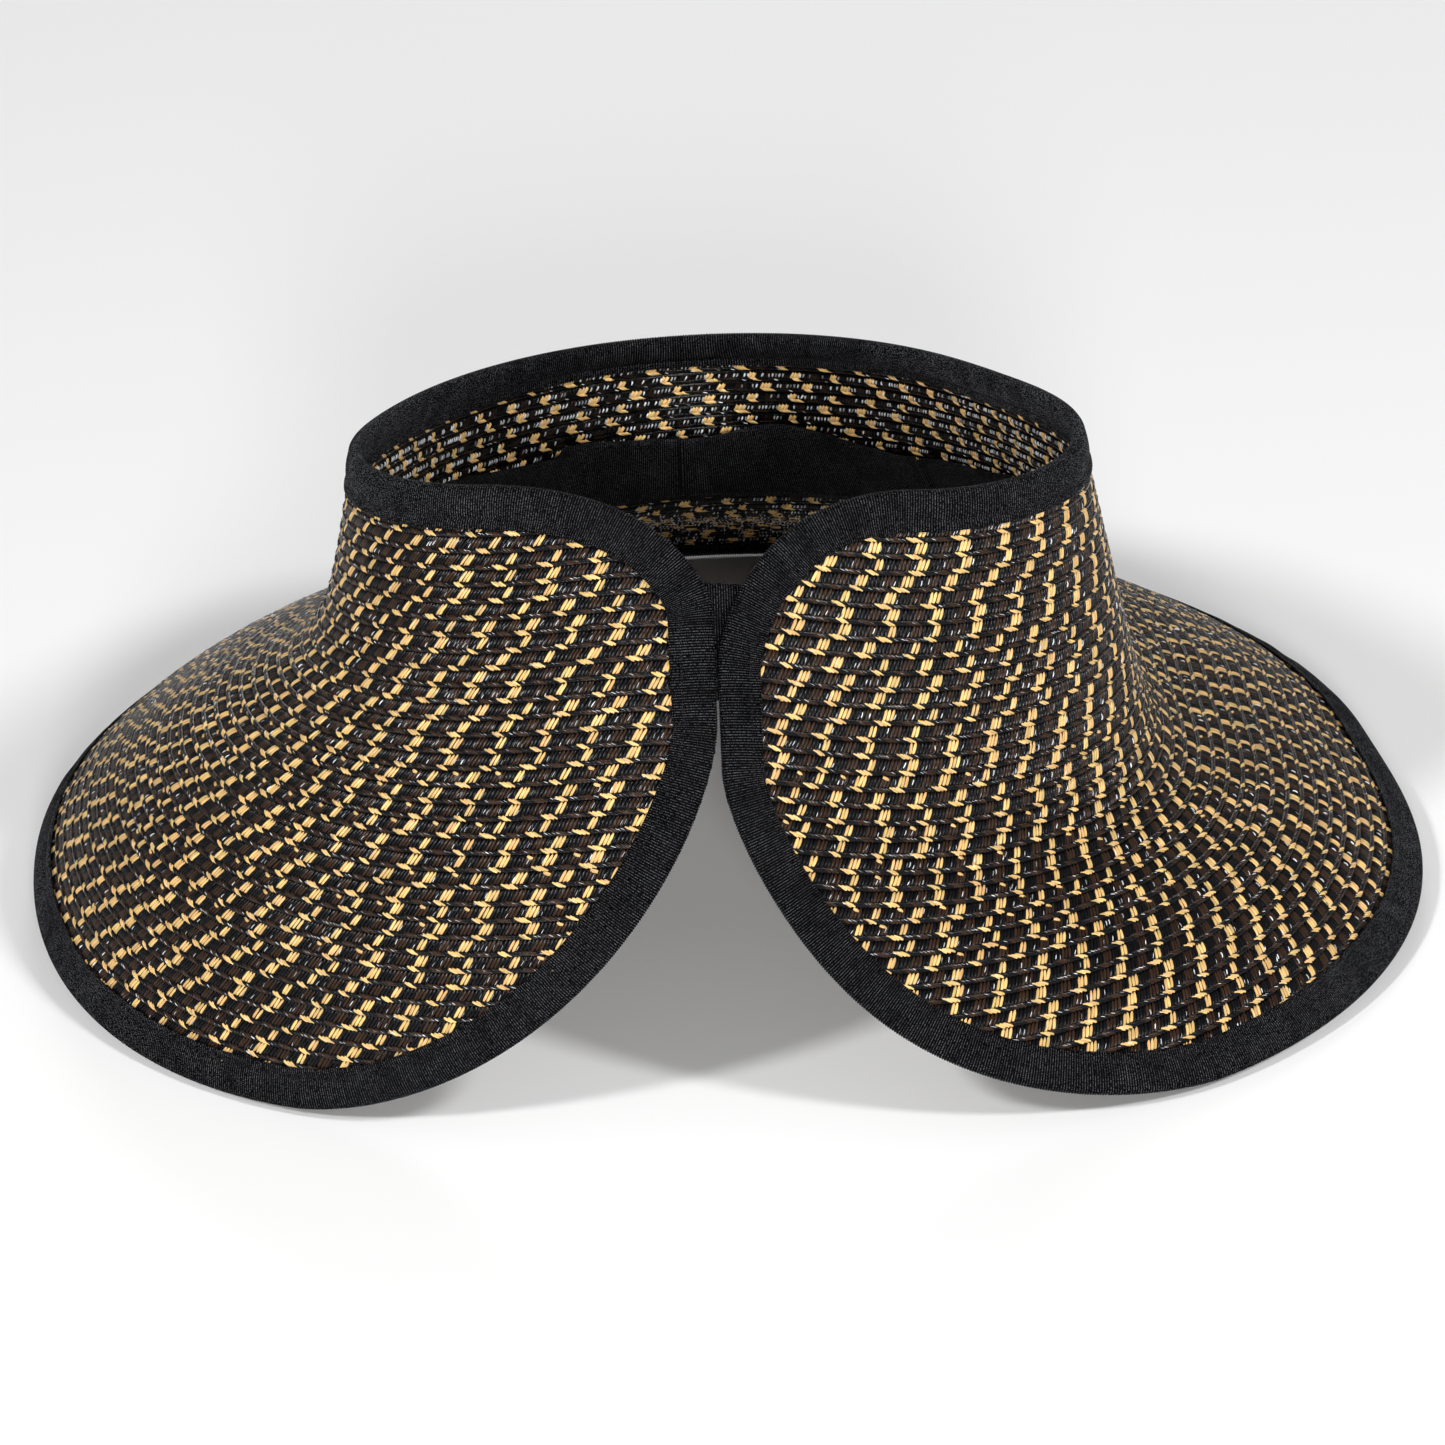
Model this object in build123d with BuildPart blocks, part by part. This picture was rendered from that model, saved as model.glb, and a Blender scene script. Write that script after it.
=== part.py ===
from build123d import *
from functools import lru_cache
from math import ceil, cos, exp, hypot, log, pi, sin, radians
import os

# Roll-up straw sun visor, millimetres, +Z up, +Y towards the front of the brim.
# Braid rows are sewn edge to edge into one sheet that wraps round the head and stops
# at the back, where its two rounded ends meet. A folded ribbon binds the whole edge.
# theta runs round the crown from the front (0) to the back (+pi on the right side,
# -pi on the left side). s runs down the straw from the crown's top edge.

# Sheet shape round the crown: mean value, front-to-back terms, left-to-right terms
TOP_RADIUS = (87.7, (30.6, 3.4, 8.2, 2.9), (0.3, -3.2, -1.8))
TOP_HEIGHT = (127.8, (-17.5, -2.7, -2.3), (-1.2, 2.0))
CROWN_LEAN = (19.2, (-4.2, 7.7), (-1.7, 6.9))
BRIM_LEAN = (63.1, (18.8, -7.5), (6.8, -4.8))
BRIM_DROOP = (-38.6, (4.0,), ())
WAIST_DEPTH = (68.3, (-2.0,), (22.0,))
SHEET_DEPTH = (152.2, (-1.7, -7.8), (3.0,))
WAIST_SOFTNESS = 12.1
REST_TILT = 0.0174

# Rounded back ends, left and right
CORNER_ANGLE = (radians(48.8), radians(41.2))
CORNER_DEPTH = (32.8, 46.5)
MEET_DEPTH = (59.0, 70.5)
PETAL_ANGLE = radians(59.8)
CORNER_POWER = 1.71
PETAL_POWER = 1.5
END_ANGLE = pi - 0.016

# Braid
ROW_PITCH = 4.02
ROW_GAP = 0.4
STRAW_THICK = 1.6
EDGE_INSET = 1.0
MIN_ROW_WIDTH = 1.2
ROW_STATION = radians(5)
MIN_ROW_ANGLE = radians(6)

# Edge binding, its thread, and the sweatband
RIBBON_THICK = 0.6
RIBBON_GAP = 0.15
BINDING_WIDTH = 9.5
BINDING_STATION = 8.0
THREAD = 0.5
STITCH_INSET = 7.0
SWEATBAND_WIDTH = 25.0
SWEATBAND_THICK = 0.8
SWEATBAND_FOOT = (57.5, (), (8.0,))
SWEATBAND_END = radians(128)
SWEATBAND_OFFSET = 1.6

# Closure strap inside the back ends: lengths run across from the line where they meet,
# to the right petal as positive; levels are depths below the middle of the straw
STRAP_TOP = 25.0
STRAP_WIDTH = 28.0
FLAP_SPAN = (-9.4, 43.0)
FLAP_LEVEL = 3.2
FLAP_THICK = 0.8
ANCHOR_SPAN = (-32.0, -10.6)
ANCHOR_LEVEL = 2.6
ANCHOR_THICK = 2.0
HINGE_AT = -10.0
PATCH_MARGIN = 3.0
PATCH_THICK = 0.75
HOOK_SPAN = (20.0, 40.0)
HOOK_LEVEL = 2.35
LOOP_SPAN = (18.0, 42.0)
LOOP_LEVEL = 1.3
STITCH_BORDER = 3.0
STITCH_LINE = 1.2
STITCH_LEVEL = 3.8

PROFILE_STEP = 2.0
PROFILE_END = 190.0

# The origin is the middle of the whole visor's box, at its foot
ORIGIN_X = -2.1
ORIGIN_Y = 56.1
ORIGIN_Z = -0.4


def wave(theta, mean, cosines, sines):
    """A smooth value round the crown."""
    front_back = sum(c * cos((n + 1) * theta) for n, c in enumerate(cosines))
    left_right = sum(c * sin((n + 1) * theta) for n, c in enumerate(sines))
    return mean + front_back + left_right


def ring_point(theta):
    radius = wave(theta, *TOP_RADIUS)
    return radius * sin(theta) - ORIGIN_X, radius * cos(theta) - ORIGIN_Y


@lru_cache(maxsize=None)
def ring_frame(theta):
    """Plan point of the top edge and its outward direction."""
    x, y = ring_point(theta)
    x_before, y_before = ring_point(theta - 0.001)
    x_after, y_after = ring_point(theta + 0.001)
    length = hypot(x_after - x_before, y_after - y_before)
    return x, y, (y_before - y_after) / length, (x_after - x_before) / length


def lean(theta, s):
    """Angle of the sheet away from vertical, from the crown into the drooping brim."""
    crown = wave(theta, *CROWN_LEAN)
    brim = wave(theta, *BRIM_LEAN)
    past = (s - wave(theta, *WAIST_DEPTH)) / WAIST_SOFTNESS
    turn = 1 / (1 + exp(-2 * past))
    beyond = WAIST_SOFTNESS * log(1 + exp(past))
    return radians(crown + (brim - crown) * turn + wave(theta, *BRIM_DROOP) * beyond / 100)


@lru_cache(maxsize=None)
def profile(theta):
    """Distance out and down at each step of s, at one angle."""
    out, down = [0.0], [0.0]
    for i in range(ceil(PROFILE_END / PROFILE_STEP)):
        angle = lean(theta, (i + 0.5) * PROFILE_STEP)
        out.append(out[-1] + PROFILE_STEP * sin(angle))
        down.append(down[-1] + PROFILE_STEP * cos(angle))
    return out, down


def sheet_2d(theta, s):
    """A point of the sheet in its upright plane at theta: out from the top edge, and z."""
    theta = round(theta, 6)
    out, down = profile(theta)
    i = min(int(s / PROFILE_STEP), len(out) - 2)
    f = s / PROFILE_STEP - i
    reach = out[i] + f * (out[i + 1] - out[i])
    fall = down[i] + f * (down[i + 1] - down[i])
    _, y, _, ny = ring_frame(theta)
    return reach, wave(theta, *TOP_HEIGHT) - ORIGIN_Z - fall - REST_TILT * (y + ORIGIN_Y + ny * reach)


def sheet(theta, s):
    """A point of the sheet's middle surface."""
    theta = round(theta, 6)
    x, y, nx, ny = ring_frame(theta)
    reach, z = sheet_2d(theta, s)
    return Vector(x + nx * reach, y + ny * reach, z)


def sheet_axes(theta, s):
    """Unit directions at a point: round the crown, down the straw, and outward."""
    across = sheet(theta + 0.002, s) - sheet(theta - 0.002, s)
    down = sheet(theta, s + 0.5) - sheet(theta, s - 0.5)
    return across, down, across.cross(down).normalized()


def side(theta):
    return 0 if theta < 0 else 1


def top_limit(theta):
    """Smallest s of the straw: 0, then round the top corner of the back end."""
    k = side(theta)
    u = (abs(theta) - (pi - CORNER_ANGLE[k])) / CORNER_ANGLE[k]
    if u <= 0:
        return 0.0
    return CORNER_DEPTH[k] * (1 - (1 - min(u, 1.0) ** CORNER_POWER) ** (1 / CORNER_POWER))


def bottom_limit(theta):
    """Largest s of the straw: the brim edge, then up round the petal."""
    k = side(theta)
    full = wave(theta, *SHEET_DEPTH)
    u = (abs(theta) - (pi - PETAL_ANGLE)) / PETAL_ANGLE
    if u <= 0:
        return full
    return MEET_DEPTH[k] + (full - MEET_DEPTH[k]) * (1 - min(u, 1.0) ** PETAL_POWER) ** (1 / PETAL_POWER)


# The outline as one closed loop of (theta, s): along the top from the front, round the
# right end, back along the brim edge, and the same on the left.
def half_outline(sign):
    k = side(sign)
    top_end = pi - CORNER_ANGLE[k]
    petal_start = pi - PETAL_ANGLE
    stretch = END_ANGLE / pi
    points = [(top_end * i / 60, 0.0) for i in range(60)]
    for i in range(61):
        q = pi / 2 * i / 60
        theta = top_end + CORNER_ANGLE[k] * sin(q) ** (2 / CORNER_POWER)
        points.append((theta, CORNER_DEPTH[k] * (1 - cos(q) ** (2 / CORNER_POWER))))
    for i in range(61):
        q = pi / 2 * i / 60
        theta = pi - PETAL_ANGLE * (1 - cos(q) ** (2 / PETAL_POWER))
        full = wave(sign * theta, *SHEET_DEPTH)
        points.append((theta, MEET_DEPTH[k] + (full - MEET_DEPTH[k]) * sin(q) ** (2 / PETAL_POWER)))
    for i in range(1, 61):
        theta = petal_start * (1 - i / 60)
        points.append((theta, wave(sign * theta, *SHEET_DEPTH)))
    return [(sign * theta * stretch, s) for theta, s in points]


def spaced(points, step):
    """The same curve on the sheet with points about one step apart."""
    places = [sheet(*p) for p in points]
    lengths = [0.0]
    for a, b in zip(places, places[1:]):
        lengths.append(lengths[-1] + (b - a).length)
    count = round(lengths[-1] / step)
    result = []
    j = 0
    for i in range(count + 1):
        target = lengths[-1] * i / count
        while j < len(lengths) - 2 and lengths[j + 1] < target:
            j += 1
        f = (target - lengths[j]) / max(lengths[j + 1] - lengths[j], 1e-9)
        (t0, s0), (t1, s1) = points[j], points[j + 1]
        result.append((t0 + f * (t1 - t0), s0 + f * (s1 - s0)))
    return result


loop = spaced(half_outline(1), BINDING_STATION)
loop = loop + spaced(half_outline(-1), BINDING_STATION)[-2:0:-1]


def upright_plane(theta):
    """The plane of the sheet's profile at theta: local x is outward, local y is up."""
    x, y, nx, ny = ring_frame(theta)
    return Plane(origin=(x, y, 0), x_dir=(nx, ny, 0), z_dir=(ny, -nx, 0))


def strip_outline(theta, depths, offset, thickness):
    """Corners of a strip's section, along the sheet and offset outward from it."""
    points = [sheet_2d(theta, s) for s in depths]
    outer, inner = [], []
    for i, (reach, z) in enumerate(points):
        before = points[max(i - 1, 0)]
        after = points[min(i + 1, len(points) - 1)]
        length = hypot(after[0] - before[0], after[1] - before[1])
        nx, nz = (before[1] - after[1]) / length, (after[0] - before[0]) / length
        outer.append((reach + nx * (offset + thickness / 2), z + nz * (offset + thickness / 2)))
        inner.append((reach + nx * (offset - thickness / 2), z + nz * (offset - thickness / 2)))
    return outer + inner[::-1]


def strip_section(theta, depths, offset, thickness):
    """One upright section of a strip that lies along the sheet."""
    with BuildSketch(upright_plane(theta)) as section:
        with BuildLine():
            Polyline(strip_outline(theta, depths, offset, thickness), close=True)
        make_face()
    return section.sketch


# Braid rows: each is cut off by the rounded outline, just inside the binding's fold
def row_limits(theta, row):
    shift = EDGE_INSET / 90
    further = theta + shift if theta > 0 else theta - shift
    if abs(further) >= END_ANGLE:
        return 0.0, 0.0
    low = max(row * ROW_PITCH + EDGE_INSET * (row == 0), top_limit(further) + EDGE_INSET * (top_limit(further) > 0))
    high = min((row + 1) * ROW_PITCH - ROW_GAP, bottom_limit(further) - EDGE_INSET)
    return low, high


def row_spans(row):
    """The stretches of the crown, as (start, end) angles, where a row is wide enough to sew."""
    fine = radians(0.2)
    spans = []
    inside = False
    for i in range(-900, 901):
        low, high = row_limits(i * fine, row)
        if high - low >= MIN_ROW_WIDTH and not inside:
            spans.append([i * fine, i * fine])
        inside = high - low >= MIN_ROW_WIDTH
        if inside:
            spans[-1][1] = i * fine
    return [span for span in spans if span[1] - span[0] > MIN_ROW_ANGLE]


def save(part, name):
    part.label = name
    export_step(part, f"parts/{name}.step")
    print(f"{name} {part.volume:.0f} mm3 {len(part.solids())} solid, valid {part.is_valid}")


os.makedirs("parts", exist_ok=True)

# Rows below the shallowest part of the brim are cut along its edge, so their sections are
# closer and joined straight, which keeps them inside the fold.
brim_depths = [wave(radians(angle), *SHEET_DEPTH) for angle in range(-180, 180, 5)]
for row in range(int(max(brim_depths) / ROW_PITCH)):
    cut_by_edge = (row + 1) * ROW_PITCH > min(brim_depths)
    station = ROW_STATION / 2 if cut_by_edge else ROW_STATION
    spans = row_spans(row)
    for start, end in spans:
        grid = [i * station for i in range(-72, 73)]
        inner = [t for t in grid if start + station / 2 < t < end - station / 2]
        stations = [start] + inner + [end]
        sections = [strip_section(t, row_limits(t, row), 0.0, STRAW_THICK) for t in stations]
        with BuildPart() as straw_row:
            loft(sections, ruled=cut_by_edge)
        place = "" if len(spans) == 1 else "_left" if end < 0 else "_right"
        save(straw_row.part, f"straw_row_{row + 1:02d}{place}")


# Binding: one ribbon folded over the edge, its two legs following the sheet inward
def edge_frame(i):
    """A point of the loop, its run, the way into the straw, and outward from the sheet."""
    n = len(loop)
    here = sheet(*loop[i % n])
    run = (sheet(*loop[(i + 1) % n]) - sheet(*loop[(i - 1) % n])).normalized()
    around, down, outward = sheet_axes(*loop[i % n])
    inward = outward.cross(run).normalized()
    return here, run, inward, outward, around, down


def leg_points(i, distances):
    """Plane of the section at a loop point, and the sheet's own line in it."""
    here, run, inward, outward, around, down = edge_frame(i)
    theta, s = loop[i % len(loop)]
    # steps in theta and s that move one millimetre straight in from the edge
    aa, dd, ad = around.dot(around), down.dot(down), around.dot(down)
    ai, di = around.dot(inward), down.dot(inward)
    scale = aa * dd - ad * ad
    step_theta = 0.004 * (ai * dd - di * ad) / scale
    step_s = (di * aa - ai * ad) / scale
    plane = Plane(origin=here, x_dir=inward, z_dir=inward.cross(outward))
    line = []
    for d in distances:
        point = sheet(theta + step_theta * d, s + step_s * d) - here
        line.append((point.dot(inward), point.dot(outward)))
    return plane, line


def section_at(plane, corners):
    with BuildSketch(plane) as section:
        with BuildLine():
            Polyline(corners, close=True)
        make_face()
    return section.sketch


def binding_section(i):
    near = STRAW_THICK / 2 + RIBBON_GAP
    far = near + RIBBON_THICK
    plane, line = leg_points(i, (0, BINDING_WIDTH / 2, BINDING_WIDTH))
    outer = [(-RIBBON_THICK, far)] + [(x, y + far) for x, y in line[1:]]
    inner = [(x, y + near) for x, y in line[:0:-1]] + [(0, near)]
    below_inner = [(0, -near)] + [(x, y - near) for x, y in line[1:]]
    below_outer = [(x, y - far) for x, y in line[:0:-1]] + [(-RIBBON_THICK, -far)]
    return section_at(plane, outer + inner + below_inner + below_outer)


def stitch_section(i):
    base = STRAW_THICK / 2 + RIBBON_GAP + RIBBON_THICK
    plane, line = leg_points(i, (STITCH_INSET - THREAD / 2, STITCH_INSET + THREAD / 2))
    (x0, y0), (x1, y1) = line
    corners = [(x0, y0 + base), (x1, y1 + base), (x1, y1 + base + THREAD), (x0, y0 + base + THREAD)]
    return section_at(plane, corners)


quarter = len(loop) // 4
breaks = [0, quarter, 2 * quarter, 3 * quarter, len(loop)]

with BuildPart() as edge_binding:
    for first, last in zip(breaks, breaks[1:]):
        loft([binding_section(i) for i in range(first, last + 1)])
save(edge_binding.part, "edge_binding")

with BuildPart() as binding_stitching:
    for first, last in zip(breaks, breaks[1:]):
        loft([stitch_section(i) for i in range(first, last + 1)])
save(binding_stitching.part, "binding_stitching")


# Sweatband: a ribbon inside the crown, sewn on along its lower edge
band_angles = [SWEATBAND_END * i / 36 for i in range(-36, 37)]
inner_face = -(STRAW_THICK / 2 + SWEATBAND_OFFSET)

with BuildPart() as sweatband:
    sections = []
    for theta in band_angles:
        foot = wave(theta, *SWEATBAND_FOOT)
        depths = [foot - SWEATBAND_WIDTH * i / 4 for i in range(4, -1, -1)]
        sections.append(strip_section(theta, depths, inner_face, SWEATBAND_THICK))
    loft(sections)
save(sweatband.part, "sweatband")

with BuildPart() as sweatband_stitching:
    sections = []
    for theta in band_angles:
        foot = wave(theta, *SWEATBAND_FOOT) - 2
        depths = [foot - THREAD, foot]
        offset = inner_face - (SWEATBAND_THICK + THREAD) / 2
        sections.append(strip_section(theta, depths, offset, THREAD))
    loft(sections)
save(sweatband_stitching.part, "sweatband_stitching")


# Closure strap: a folded end sewn inside the left petal, and a flap that swings from it
# across the gap and sticks to the right petal with a hook patch on a loop patch
strap_middle = STRAP_TOP + STRAP_WIDTH / 2
radius_there = sheet_axes(pi, strap_middle)[0].length / 0.004


def back_strip(span, margin, level, thickness):
    """Sections of a patch or strap on the inside, across the line where the ends meet."""
    count = ceil((span[1] - span[0]) / 4)
    depths = [STRAP_TOP + margin + (STRAP_WIDTH - 2 * margin) * i / 3 for i in range(4)]
    angles = [pi - (span[0] + (span[1] - span[0]) * i / count) / radius_there for i in range(count + 1)]
    return [strip_section(theta, depths, -level, thickness) for theta in angles]


with BuildPart() as strap_anchor:
    loft(back_strip(ANCHOR_SPAN, 0.0, ANCHOR_LEVEL, ANCHOR_THICK))
save(strap_anchor.part, "strap_anchor")

with BuildPart() as strap_flap:
    loft(back_strip(FLAP_SPAN, 0.0, FLAP_LEVEL, FLAP_THICK))
save(strap_flap.part, "strap_flap")

with BuildPart() as hook_patch:
    loft(back_strip(HOOK_SPAN, PATCH_MARGIN, HOOK_LEVEL, PATCH_THICK))
save(hook_patch.part, "hook_patch")

with BuildPart() as loop_patch:
    loft(back_strip(LOOP_SPAN, PATCH_MARGIN, LOOP_LEVEL, PATCH_THICK))
save(loop_patch.part, "loop_patch")

inner_border = STITCH_BORDER + STITCH_LINE
stitch_span = (ANCHOR_SPAN[0] + STITCH_BORDER, ANCHOR_SPAN[1] - STITCH_BORDER)
hole_span = (stitch_span[0] + STITCH_LINE, stitch_span[1] - STITCH_LINE)
with BuildPart() as strap_stitching:
    loft(back_strip(stitch_span, STITCH_BORDER, STITCH_LEVEL, 0.3))
    loft(back_strip(hole_span, inner_border, STITCH_LEVEL, 0.9), mode=Mode.SUBTRACT)
save(strap_stitching.part, "strap_stitching")


def hinge_point(s):
    theta = pi - HINGE_AT / radius_there
    (reach, z), (reach_below, z_below) = sheet_2d(theta, s - 0.5), sheet_2d(theta, s + 0.5)
    x, y, nx, ny = ring_frame(theta)
    inset = FLAP_LEVEL
    reach_in = (reach + reach_below) / 2 - inset * (z - z_below)
    z_in = (z + z_below) / 2 - inset * (reach_below - reach)
    return Vector(x + nx * reach_in, y + ny * reach_in, z_in)


hinge_foot = hinge_point(STRAP_TOP + STRAP_WIDTH)
hinge_head = hinge_point(STRAP_TOP)
print("flap hinge at", (hinge_foot + hinge_head) / 2, "along", (hinge_head - hinge_foot).normalized())
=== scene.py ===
import math

import bpy
import numpy as np
from mathutils import Matrix, Vector


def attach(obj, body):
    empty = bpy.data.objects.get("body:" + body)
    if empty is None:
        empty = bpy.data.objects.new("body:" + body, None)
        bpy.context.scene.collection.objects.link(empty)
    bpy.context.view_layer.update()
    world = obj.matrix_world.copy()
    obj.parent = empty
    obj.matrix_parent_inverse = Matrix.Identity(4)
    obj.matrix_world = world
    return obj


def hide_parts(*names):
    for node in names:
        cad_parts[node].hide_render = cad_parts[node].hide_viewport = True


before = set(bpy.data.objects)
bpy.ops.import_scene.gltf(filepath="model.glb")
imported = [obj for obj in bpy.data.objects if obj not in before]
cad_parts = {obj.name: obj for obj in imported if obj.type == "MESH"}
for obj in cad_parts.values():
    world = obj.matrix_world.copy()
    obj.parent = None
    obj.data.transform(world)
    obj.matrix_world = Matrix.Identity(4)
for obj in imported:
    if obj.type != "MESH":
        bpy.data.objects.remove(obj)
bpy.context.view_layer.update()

rng = np.random.default_rng(11)
MM = 0.001
BODY = "visor"
FLAP = "closure_flap"

# ---------------------------------------------------------------- sheet shape (mm)
# The straw sheet of the CAD model: theta runs round the crown from the front (0) to the
# back (+pi right, -pi left); s runs down the straw from the crown's top edge.
TOP_RADIUS = (87.7, (30.6, 3.4, 8.2, 2.9), (0.3, -3.2, -1.8))
TOP_HEIGHT = (127.8, (-17.5, -2.7, -2.3), (-1.2, 2.0))
CROWN_LEAN = (19.2, (-4.2, 7.7), (-1.7, 6.9))
BRIM_LEAN = (63.1, (18.8, -7.5), (6.8, -4.8))
BRIM_DROOP = (-38.6, (4.0,), ())
WAIST_DEPTH = (68.3, (-2.0,), (22.0,))
SHEET_DEPTH = (152.2, (-1.7, -7.8), (3.0,))
WAIST_SOFTNESS = 12.1
REST_TILT = 0.0174
ORIGIN = (-2.1, 56.1, -0.4)
CORNER_ANGLE = (math.radians(48.8), math.radians(41.2))
CORNER_DEPTH = (32.8, 46.5)
MEET_DEPTH = (59.0, 70.5)
PETAL_ANGLE = math.radians(59.8)
CORNER_POWER = 1.71
PETAL_POWER = 1.5
END_ANGLE = math.pi - 0.016
ROW_PITCH = 4.02
BINDING_WIDTH = 9.5


def wave(theta, mean, cosines, sines):
    total = np.full(np.shape(theta), float(mean))
    for n, c in enumerate(cosines):
        total = total + c * np.cos((n + 1) * theta)
    for n, c in enumerate(sines):
        total = total + c * np.sin((n + 1) * theta)
    return total


# Table of the sheet's points and outward normals, read by bilinear interpolation
GRID_THETA = np.linspace(-math.pi - 0.6, math.pi + 0.6, 1801)
GRID_S = np.arange(0.0, 186.0, 1.0)


def build_sheet():
    theta = GRID_THETA
    radius = wave(theta, *TOP_RADIUS)
    ring = np.stack([radius * np.sin(theta), radius * np.cos(theta)], 1)
    run = np.gradient(ring, theta, axis=0)
    run /= np.linalg.norm(run, axis=1, keepdims=True)
    out = np.stack([-run[:, 1], run[:, 0]], 1)
    t = theta[:, None]
    s = (GRID_S[:-1] + 0.5)[None]
    past = (s - wave(t, *WAIST_DEPTH)) / WAIST_SOFTNESS
    crown, brim = wave(t, *CROWN_LEAN), wave(t, *BRIM_LEAN)
    beyond = WAIST_SOFTNESS * np.log1p(np.exp(past))
    angle = crown + (brim - crown) / (1 + np.exp(-2 * past)) + wave(t, *BRIM_DROOP) * beyond / 100
    angle = np.radians(angle)
    first = np.zeros((len(theta), 1))
    reach = np.concatenate([first, np.cumsum(np.sin(angle), 1)], 1)
    fall = np.concatenate([first, np.cumsum(np.cos(angle), 1)], 1)
    x = ring[:, :1] + out[:, :1] * reach
    y = ring[:, 1:] + out[:, 1:] * reach
    z = wave(t, *TOP_HEIGHT) - fall - REST_TILT * y
    points = np.stack([x, y, z], 2) - np.array(ORIGIN)
    across = np.gradient(points, theta, axis=0)
    down = np.gradient(points, GRID_S, axis=1)
    normal = np.cross(across, down)
    normal /= np.linalg.norm(normal, axis=2, keepdims=True)
    return points, normal, np.linalg.norm(across, axis=2)


SHEET, NORMAL, STRETCH = build_sheet()


def look_up(table, theta, s):
    i = (np.asarray(theta) - GRID_THETA[0]) / (GRID_THETA[1] - GRID_THETA[0])
    j = np.clip(np.asarray(s, float), 0.0, GRID_S[-1] - 0.001)
    i = np.clip(i, 0, len(GRID_THETA) - 1.001)
    i0, j0 = i.astype(int), j.astype(int)
    fi, fj = i - i0, j - j0
    if table.ndim == 3:
        fi, fj = fi[..., None], fj[..., None]
    top = table[i0, j0] * (1 - fj) + table[i0, j0 + 1] * fj
    bottom = table[i0 + 1, j0] * (1 - fj) + table[i0 + 1, j0 + 1] * fj
    return top * (1 - fi) + bottom * fi


def on_sheet(theta, s, lift):
    """Points lift mm outward from the sheet's middle surface."""
    lift = np.broadcast_to(lift, np.shape(theta))[..., None]
    return look_up(SHEET, theta, s) + look_up(NORMAL, theta, s) * lift


def per_side(theta, pair):
    return np.where(theta < 0, pair[0], pair[1])


def top_limit(theta):
    corner = per_side(theta, CORNER_ANGLE)
    u = np.clip((np.abs(theta) - (math.pi - corner)) / corner, 0, 1)
    return per_side(theta, CORNER_DEPTH) * (1 - (1 - u ** CORNER_POWER) ** (1 / CORNER_POWER))


def bottom_limit(theta):
    full = wave(theta, *SHEET_DEPTH)
    meet = per_side(theta, MEET_DEPTH)
    u = np.clip((np.abs(theta) - (math.pi - PETAL_ANGLE)) / PETAL_ANGLE, 0, 1)
    return meet + (full - meet) * (1 - u ** PETAL_POWER) ** (1 / PETAL_POWER)


def half_outline(sign):
    k = 0 if sign < 0 else 1
    top_end = math.pi - CORNER_ANGLE[k]
    q = np.linspace(0, math.pi / 2, 241)
    ease = np.linspace(0, 1, 241)
    top = np.stack([top_end * ease, 0 * ease], 1)
    corner_theta = top_end + CORNER_ANGLE[k] * np.sin(q) ** (2 / CORNER_POWER)
    corner_s = CORNER_DEPTH[k] * (1 - np.cos(q) ** (2 / CORNER_POWER))
    petal_theta = math.pi - PETAL_ANGLE * (1 - np.cos(q) ** (2 / PETAL_POWER))
    full = wave(sign * petal_theta, *SHEET_DEPTH)
    petal_s = MEET_DEPTH[k] + (full - MEET_DEPTH[k]) * np.sin(q) ** (2 / PETAL_POWER)
    rest_theta = (math.pi - PETAL_ANGLE) * (1 - ease)
    rest_s = wave(sign * rest_theta, *SHEET_DEPTH)
    parts = [top, np.stack([corner_theta, corner_s], 1), np.stack([petal_theta, petal_s], 1)]
    parts.append(np.stack([rest_theta, rest_s], 1))
    line = np.concatenate(parts)
    line[:, 0] *= sign * END_ANGLE / math.pi
    return line


def even_steps(line, step):
    """The same curve with points step mm apart, and the length so far at each."""
    places = look_up(SHEET, line[:, 0], line[:, 1])
    length = np.concatenate([[0], np.cumsum(np.linalg.norm(np.diff(places, axis=0), axis=1))])
    keep = np.concatenate([[True], np.diff(length) > 1e-6])
    count = int(round(length[-1] / step))
    even = np.linspace(0, length[-1], count + 1)
    theta = np.interp(even, length[keep], line[keep, 0])
    s = np.interp(even, length[keep], line[keep, 1])
    return np.stack([theta, s], 1)


def smooth_closed(values, passes):
    for _ in range(passes):
        values = (np.roll(values, 1, 0) + 2 * values + np.roll(values, -1, 0)) / 4
    return values


OUTLINE = np.concatenate([half_outline(1), half_outline(-1)[-2:0:-1]])
OUTLINE = np.concatenate([OUTLINE, OUTLINE[:1]])
EDGE_POINTS = even_steps(OUTLINE, 2.0)[:-1]
EDGE_PLACES = look_up(SHEET, EDGE_POINTS[:, 0], EDGE_POINTS[:, 1])


def edge_distance(places):
    result = np.empty(len(places))
    for i in range(0, len(places), 4000):
        gap = places[i:i + 4000, None] - EDGE_PLACES[None]
        result[i:i + 4000] = np.sqrt((gap ** 2).sum(2).min(1))
    return result


# ---------------------------------------------------------------- mesh helpers
def grid_faces(count, rows, columns, wrap=False):
    """Quads of many equal grids of rows x columns points; wrap joins the last column to the first."""
    r = np.arange(rows - 1)[:, None]
    c = np.arange(columns if wrap else columns - 1)[None]
    after = (c + 1) % columns
    here, below = r * columns, (r + 1) * columns
    quad = np.stack([here + c, here + after, below + after, below + c], 2).reshape(-1, 4)
    return (quad[None] + (np.arange(count) * rows * columns)[:, None, None]).reshape(-1, 4)


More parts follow.
